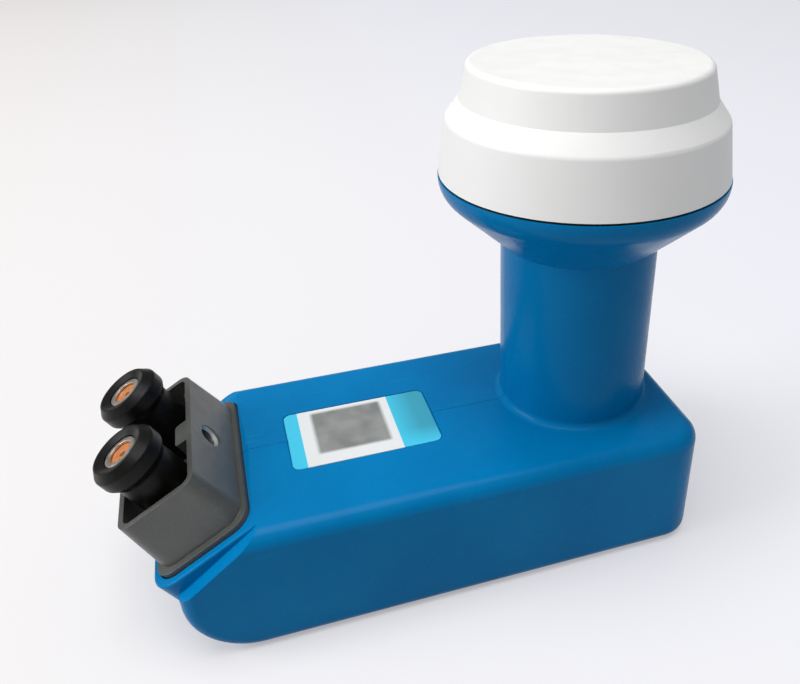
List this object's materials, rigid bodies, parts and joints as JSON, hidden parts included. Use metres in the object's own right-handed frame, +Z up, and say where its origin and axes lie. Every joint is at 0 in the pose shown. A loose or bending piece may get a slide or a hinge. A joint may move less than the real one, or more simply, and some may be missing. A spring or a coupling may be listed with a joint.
{
  "type": "satellite lnb",
  "caption": "Satellite dish LNB: blue moulded case with an upright clamping neck, white horn cap and a slanted grey connector hood with booted coaxial sockets.",
  "frame": {"origin": "on the neck axis, at the flat underside of the case", "axes": "+Z up along the neck towards the cap, -X along the case towards the sockets"},
  "size_m": [0.1582, 0.0708, 0.1259],
  "materials": {
    "blue_case": "satin moulded blue",
    "white_cap": "satin moulded white",
    "grey_casting": "dull die-cast grey",
    "bare_casting": "bare die casting",
    "black_rubber": "matt rubber",
    "bright_nickel": "nickel plate",
    "amber_insulator": "moulded insulator",
    "contact_brass": "bright brass",
    "screw_steel": "zinc plate",
    "board_laminate": "green laminate",
    "chip_epoxy": "black epoxy",
    "ceramic": "fired ceramic",
    "label_film": "printed film with plain fields of colour"
  },
  "bodies": {
    "root": {"case_near_half": "blue_case", "case_far_half": "blue_case", "feed_cap": "white_cap", "cap_seal": "black_rubber", "chassis": "bare_casting", "bottom_cover": "bare_casting", "cover_gasket": "black_rubber", "cover_screws": "screw_steel", "tuning_screws": "screw_steel", "resonators": "ceramic", "circuit_board": "board_laminate", "board_screws": "screw_steel", "board_chips": "chip_epoxy", "connector_block": "grey_casting", "block_gasket": "black_rubber", "block_screws": "screw_steel", "socket_near": "bright_nickel", "socket_far": "bright_nickel", "insulator_near": "amber_insulator", "insulator_far": "amber_insulator", "contact_near": "contact_brass", "contact_far": "contact_brass", "boot_near": "black_rubber", "boot_far": "black_rubber", "label_plate": "label_film"}
  },
  "joints": []
}
